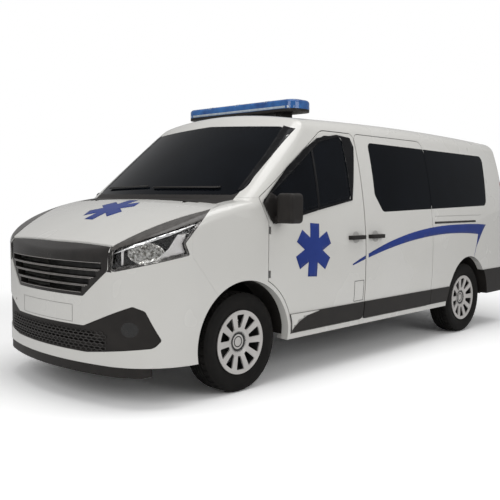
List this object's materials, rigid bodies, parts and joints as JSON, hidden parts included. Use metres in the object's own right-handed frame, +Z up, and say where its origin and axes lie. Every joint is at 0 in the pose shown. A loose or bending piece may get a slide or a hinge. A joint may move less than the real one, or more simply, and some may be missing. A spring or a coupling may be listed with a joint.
{
  "type": "panel-van ambulance",
  "caption": "White panel-van ambulance with blue markings, roof light bar, opening cab doors, bonnet and tailgate, steered front wheels and free-turning wheels.",
  "frame": {"origin": "on the ground under the middle of the vehicle's length and width", "axes": "+X forward, +Y to the vehicle's left, +Z up"},
  "size_m": [4.999, 2.283, 2.0619],
  "materials": {
    "white_paint": "gloss, warm white",
    "black_plastic": "fine grained",
    "gloss_black": "gloss",
    "dark_glass": "tinted",
    "lamp_reflector": "bright",
    "clear_lens": "clear",
    "red_lens": "gloss",
    "blue_lens": "gloss, translucent",
    "cab_plastic": "fine grained",
    "seat_fabric": "woven",
    "mattress_cover": "wipe-clean coated cloth",
    "stretcher_metal": "satin",
    "floor_covering": "studded sheet",
    "chassis_black": "satin",
    "engine_metal": "cast",
    "exhaust_steel": "dull",
    "hinge_steel": "machined",
    "tyre_rubber": "matte",
    "wheel_silver": "silver lacquer"
  },
  "bodies": {
    "body_shell": {"floor_pan": "floor_covering", "roof_panel": "white_paint", "left_body_side": "white_paint", "right_body_side": "white_paint", "front_wings": "white_paint", "wheel_arch_liners": "black_plastic", "front_bumper": "white_paint", "bumper_insert": "black_plastic", "radiator_grille": "gloss_black", "front_lamps": "lamp_reflector", "headlamp_lenses": "clear_lens", "windscreen": "dark_glass", "scuttle_panel": "black_plastic", "rear_bumper": "black_plastic", "tail_lamps": "red_lens", "sliding_doors": "white_paint", "body_cladding": "black_plastic", "side_windows": "dark_glass", "light_bar_base": "black_plastic", "light_bar_lens": "blue_lens", "dashboard": "cab_plastic", "front_seats": "seat_fabric", "seat_bases": "chassis_black", "bulkhead": "cab_plastic", "door_frames": "white_paint", "stretcher": "stretcher_metal", "stretcher_mattress": "mattress_cover", "engine": "engine_metal", "front_subframe": "chassis_black", "rear_axle": "chassis_black", "fuel_tank": "chassis_black", "exhaust": "exhaust_steel", "panel_hinges": "hinge_steel"},
    "driver_door": {"driver_door": "white_paint", "driver_door_glass": "dark_glass", "driver_door_trim": "black_plastic", "driver_door_mirror": "black_plastic"},
    "passenger_door": {"passenger_door": "white_paint", "passenger_door_glass": "dark_glass", "passenger_door_trim": "black_plastic", "passenger_door_mirror": "black_plastic"},
    "bonnet": {"bonnet": "white_paint"},
    "tailgate": {"tailgate": "white_paint", "tailgate_glass": "dark_glass"},
    "left_knuckle": {"left_knuckle": "hinge_steel"},
    "front_left_wheel": {"front_left_wheel": "wheel_silver", "front_left_tyre": "tyre_rubber"},
    "rear_left_wheel": {"rear_left_wheel": "wheel_silver", "rear_left_tyre": "tyre_rubber"},
    "right_knuckle": {"right_knuckle": "hinge_steel"},
    "front_right_wheel": {"front_right_wheel": "wheel_silver", "front_right_tyre": "tyre_rubber"},
    "rear_right_wheel": {"rear_right_wheel": "wheel_silver", "rear_right_tyre": "tyre_rubber"},
    "steering_wheel": {"steering_wheel": "cab_plastic"}
  },
  "joints": [
    {"name": "driver_door_hinge", "type": "hinge", "parent": "body_shell", "child": "driver_door", "pos_m": [1.3455, 0.95044, 0.93], "axis": [0, 0, -1], "range_deg": [0, 70]},
    {"name": "passenger_door_hinge", "type": "hinge", "parent": "body_shell", "child": "passenger_door", "pos_m": [1.3455, -0.95044, 0.93], "axis": [0, 0, 1], "range_deg": [0, 70]},
    {"name": "bonnet_hinge", "type": "hinge", "parent": "body_shell", "child": "bonnet", "pos_m": [1.7445, 0, 1.25715], "axis": [0, -1, 0], "range_deg": [0, 60]},
    {"name": "tailgate_hinge", "type": "hinge", "parent": "body_shell", "child": "tailgate", "pos_m": [-2.38129, 0, 1.805], "axis": [0, 1, 0], "range_deg": [0, 85]},
    {"name": "left_steering", "type": "hinge", "parent": "body_shell", "child": "left_knuckle", "pos_m": [1.5665, 0.7185, 0.336], "axis": [0, -0.2079, 0.9781], "range_deg": [-35, 35]},
    {"name": "right_steering", "type": "hinge", "parent": "body_shell", "child": "right_knuckle", "pos_m": [1.5665, -0.7185, 0.336], "axis": [0, 0.2079, 0.9781], "range_deg": [-35, 35]},
    {"name": "steering_wheel_turn", "type": "hinge", "parent": "body_shell", "child": "steering_wheel", "pos_m": [0.985, 0.4, 1.085], "axis": [-0.8192, 0, 0.5736], "range_deg": [-560, 560]},
    {"name": "front_left_wheel_spin", "type": "hinge", "parent": "left_knuckle", "child": "front_left_wheel", "pos_m": [1.5665, 0.8075, 0.336], "axis": [0, 1, 0], "continuous": true},
    {"name": "rear_left_wheel_spin", "type": "hinge", "parent": "body_shell", "child": "rear_left_wheel", "pos_m": [-1.5315, 0.814, 0.336], "axis": [0, 1, 0], "continuous": true},
    {"name": "front_right_wheel_spin", "type": "hinge", "parent": "right_knuckle", "child": "front_right_wheel", "pos_m": [1.5665, -0.8075, 0.336], "axis": [0, 1, 0], "continuous": true},
    {"name": "rear_right_wheel_spin", "type": "hinge", "parent": "body_shell", "child": "rear_right_wheel", "pos_m": [-1.5315, -0.814, 0.336], "axis": [0, 1, 0], "continuous": true}
  ],
  "couplings": [
    {"joint": "right_steering", "follows": "left_steering", "ratio": 1},
    {"joint": "steering_wheel_turn", "follows": "left_steering", "ratio": 16}
  ]
}
